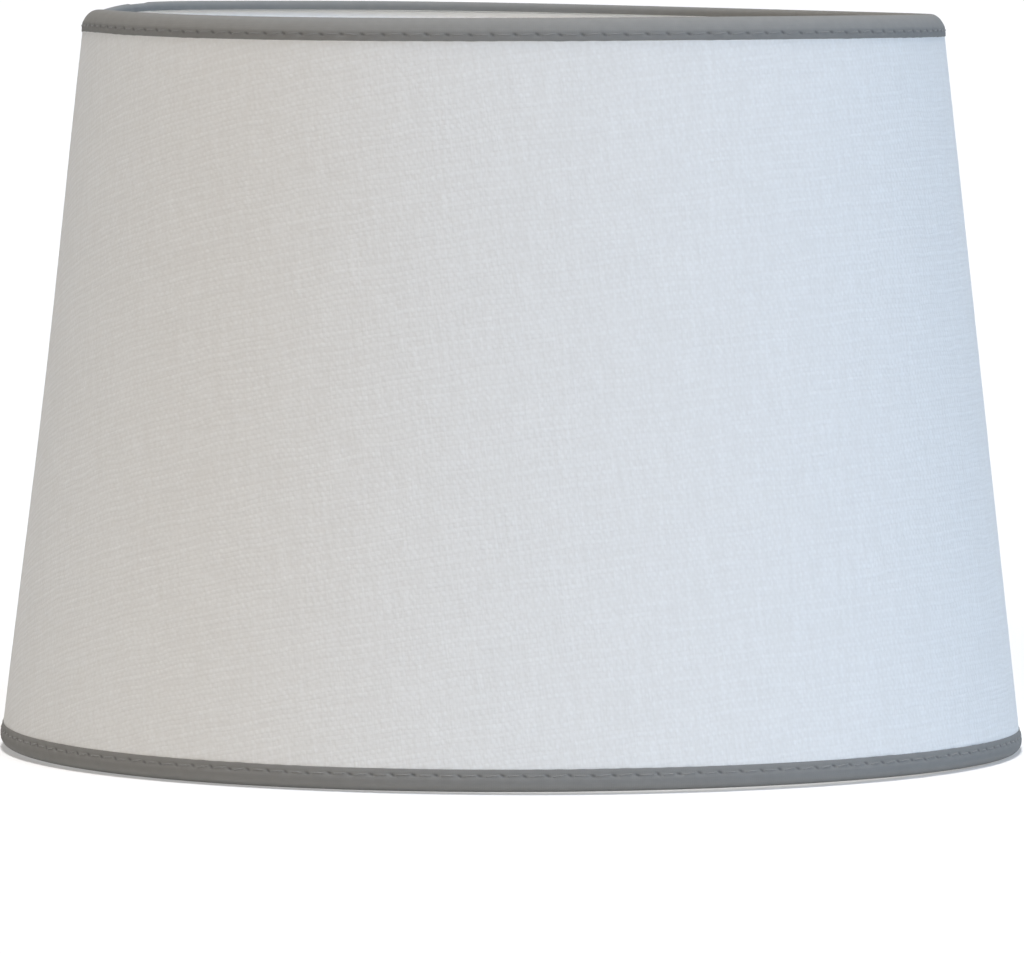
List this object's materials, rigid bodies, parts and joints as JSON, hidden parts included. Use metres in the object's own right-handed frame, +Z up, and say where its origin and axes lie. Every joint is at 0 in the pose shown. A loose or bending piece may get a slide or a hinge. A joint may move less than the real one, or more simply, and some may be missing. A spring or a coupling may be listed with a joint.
{
  "type": "lamp shade",
  "caption": "Round tapered hardback lamp shade in white linen with grey stitched edge tapes, wire rings, a raised three-arm fitter and a lift-out reducer ring.",
  "frame": {"origin": "centre of the bottom rim's plane, on the shade's axis", "axes": "+Z up along the shade's axis from the wide rim to the narrow rim; the seam is at the back left, 154 degrees round from +X, and -Y is the front"},
  "size_m": [0.201, 0.201, 0.144],
  "materials": {
    "linen": "white plain-weave linen with slubs, matte",
    "styrene": "white styrene sheet, satin",
    "adhesive_tape": "clear double-sided adhesive tape",
    "binding_tape": "grey cotton bias tape, fine plain weave",
    "sewing_thread": "grey spun polyester thread",
    "lining_thread": "white spun polyester thread, used in the bobbin",
    "coated_wire": "white powder-coated steel wire",
    "coated_steel": "white powder-coated pressed steel",
    "reducer_plastic": "white moulded plastic, satin"
  },
  "bodies": {
    "shade": {"linen_cover": "linen", "seam_tape": "adhesive_tape", "styrene_liner": "styrene", "top_ring": "coated_wire", "bottom_ring": "coated_wire", "top_binding": "binding_tape", "bottom_binding": "binding_tape", "top_needle_thread": "sewing_thread", "top_bobbin_thread": "lining_thread", "bottom_needle_thread": "sewing_thread", "bottom_bobbin_thread": "lining_thread", "arm_1": "coated_wire", "arm_2": "coated_wire", "arm_3": "coated_wire", "fitter_ring": "coated_steel"},
    "reducer": {"reducer_ring": "reducer_plastic"}
  },
  "joints": [
    {"name": "reducer_lift", "type": "slide", "parent": "shade", "child": "reducer", "axis": [0, 0, 1], "range_m": [0, 0.12]}
  ]
}
